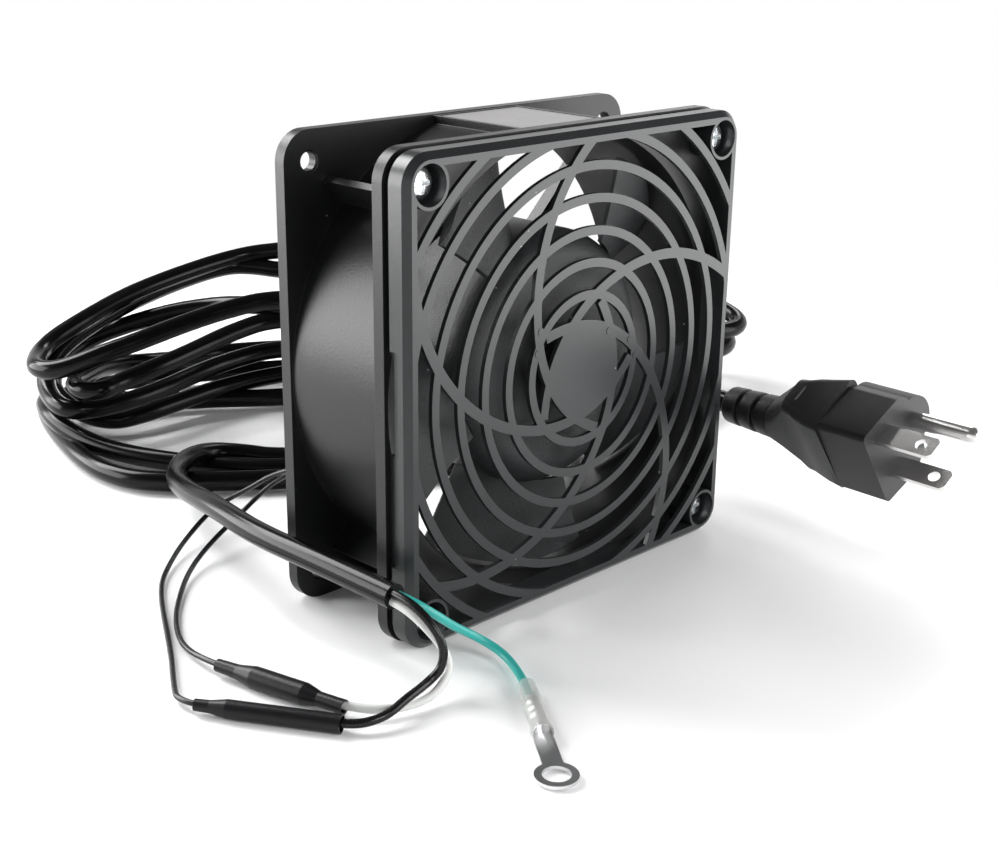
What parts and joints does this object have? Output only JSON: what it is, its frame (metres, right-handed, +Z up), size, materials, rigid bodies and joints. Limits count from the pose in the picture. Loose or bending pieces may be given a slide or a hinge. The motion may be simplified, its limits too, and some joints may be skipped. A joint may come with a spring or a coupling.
{
  "type": "rack cooling fan",
  "caption": "Square axial rack cooling fan with a spiral-arm finger guard, bladed impeller, spliced leads, earth wire with ring terminal, and a looped power cord with an earthed plug.",
  "frame": {"origin": "middle of the fan and guard's bottom edge, on the surface it stands on", "axes": "+Z up, -Y out of the finger guard towards the viewer, +Y out of the rear face, +X to the viewer's right"},
  "size_m": [0.2984, 0.3016, 0.12],
  "materials": {
    "frame_paint": "satin black paint on die-cast aluminium",
    "label_film": "satin film",
    "guard_plastic": "semi-gloss moulded plastic",
    "zinc_steel": "bright zinc plate",
    "impeller_plastic": "fine textured moulded plastic",
    "bare_steel": "ground steel",
    "lamination_steel": "stacked sheet steel",
    "cast_aluminium": "cast",
    "brass": "turned",
    "nylon": "moulded",
    "copper": "enamelled wire",
    "black_rubber": "matte",
    "wire_black": "semi-gloss insulation",
    "shrink_sleeve": "satin heat-shrink tube",
    "terminal_metal": "tinned copper",
    "cord_jacket": "semi-gloss flexible jacket",
    "wire_white": "semi-gloss insulation",
    "wire_green": "semi-gloss insulation",
    "clear_sleeve": "clear tube",
    "plug_metal": "nickel plate",
    "plug_plastic": "satin moulded plastic"
  },
  "bodies": {
    "fan_body": {"fan_frame": "frame_paint", "top_plate": "label_film", "finger_guard": "guard_plastic", "guard_screws": "zinc_steel", "guard_nuts": "zinc_steel", "rear_bearing_outer": "bare_steel", "front_bearing_outer": "bare_steel", "preload_spring": "bare_steel", "bearing_tube": "brass", "bearing_cap": "frame_paint", "stator_core": "lamination_steel", "shading_rings": "copper", "coil_bobbins": "nylon", "stator_windings": "copper", "lead_grommet": "black_rubber", "motor_lead_a": "wire_black", "motor_lead_b": "wire_black", "splice_sleeve_a": "shrink_sleeve", "splice_sleeve_b": "shrink_sleeve", "splice_crimp_a": "terminal_metal", "splice_crimp_b": "terminal_metal", "power_cord_lead": "cord_jacket", "power_cord_coil": "cord_jacket", "power_cord_tail": "cord_jacket", "cord_black_wire": "wire_black", "cord_white_wire": "wire_white", "cord_green_wire": "wire_green", "ring_terminal": "terminal_metal", "terminal_sleeve": "clear_sleeve", "plug_line_blade": "plug_metal", "plug_neutral_blade": "plug_metal", "plug_ground_pin": "plug_metal", "plug_body": "plug_plastic", "plug_strain_relief": "plug_plastic"},
    "rotor": {"impeller": "impeller_plastic", "rotor_cup": "bare_steel", "rotor_laminations": "lamination_steel", "rotor_cage": "cast_aluminium", "rotor_boss": "brass", "shaft": "bare_steel", "retaining_clip": "bare_steel", "rear_washer": "nylon", "front_washer": "nylon", "rear_bearing_inner": "bare_steel", "rear_bearing_balls": "bare_steel", "front_bearing_inner": "bare_steel", "front_bearing_balls": "bare_steel"}
  },
  "joints": [
    {"name": "impeller_spin", "type": "hinge", "parent": "fan_body", "child": "rotor", "pos_m": [0, 0, 0.06], "axis": [0, -1, 0], "continuous": true}
  ]
}
